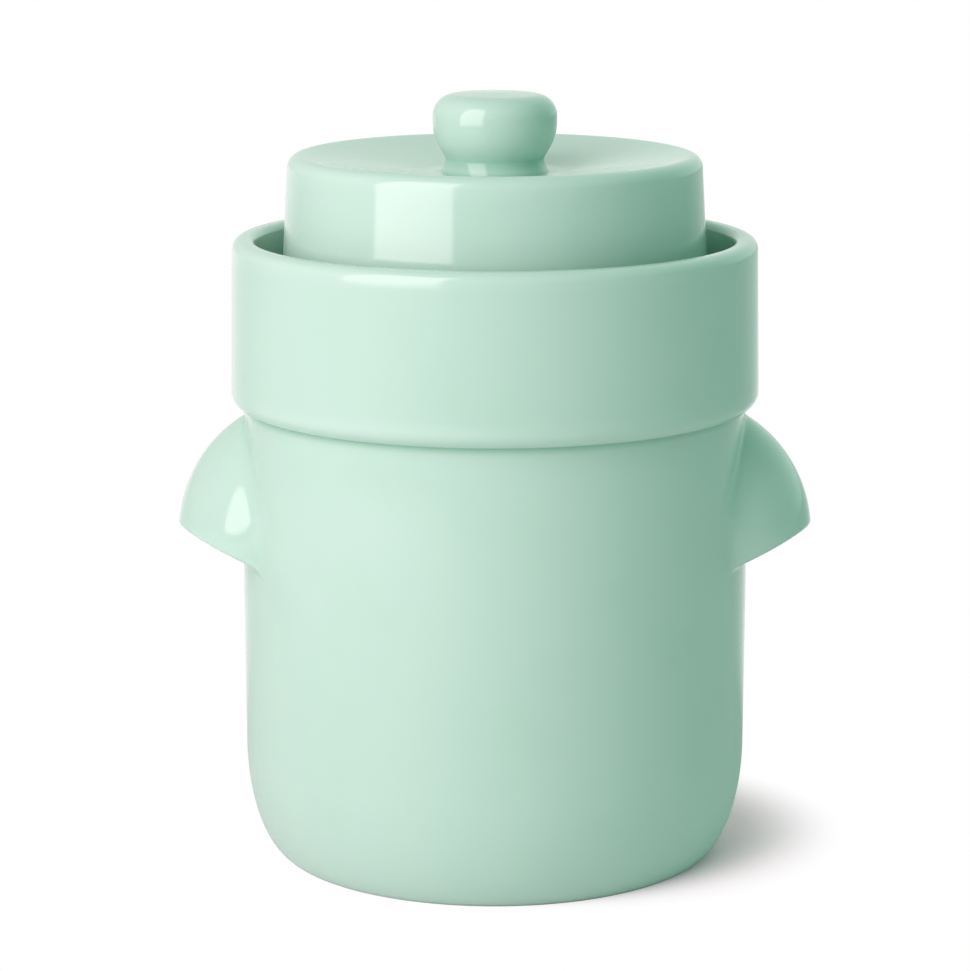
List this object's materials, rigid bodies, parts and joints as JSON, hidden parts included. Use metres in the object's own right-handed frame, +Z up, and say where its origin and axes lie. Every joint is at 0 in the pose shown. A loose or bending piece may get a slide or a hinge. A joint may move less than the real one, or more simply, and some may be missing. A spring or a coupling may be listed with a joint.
{
  "type": "fermentation crock",
  "caption": "Round ceramic fermentation crock with a water moat around its neck, a knobbed lid that stands in the moat, lug handles and weight stones inside.",
  "frame": {"origin": "middle of the foot, on the surface that the crock stands on", "axes": "+Z up along the pot's axis, the handles along X, the front towards -Y"},
  "size_m": [0.25, 0.207, 0.3028],
  "materials": {
    "mint_glaze": "gloss",
    "bare_stoneware": "matte"
  },
  "bodies": {
    "crock": {"crock_body": "mint_glaze", "moat_ring": "mint_glaze", "neck_ring": "mint_glaze", "left_handle": "mint_glaze", "right_handle": "mint_glaze"},
    "lid": {"lid": "mint_glaze", "lid_knob": "mint_glaze"},
    "left_weight": {"left_weight": "bare_stoneware"},
    "right_weight": {"right_weight": "bare_stoneware"}
  },
  "joints": [
    {"name": "lid_lift", "type": "slide", "parent": "crock", "child": "lid", "axis": [0, 0, 1], "range_m": [0, 0.12]},
    {"name": "left_weight_lift", "type": "slide", "parent": "crock", "child": "left_weight", "axis": [0, 0, 1], "range_m": [0, 0.15]},
    {"name": "right_weight_lift", "type": "slide", "parent": "crock", "child": "right_weight", "axis": [0, 0, 1], "range_m": [0, 0.15]}
  ]
}
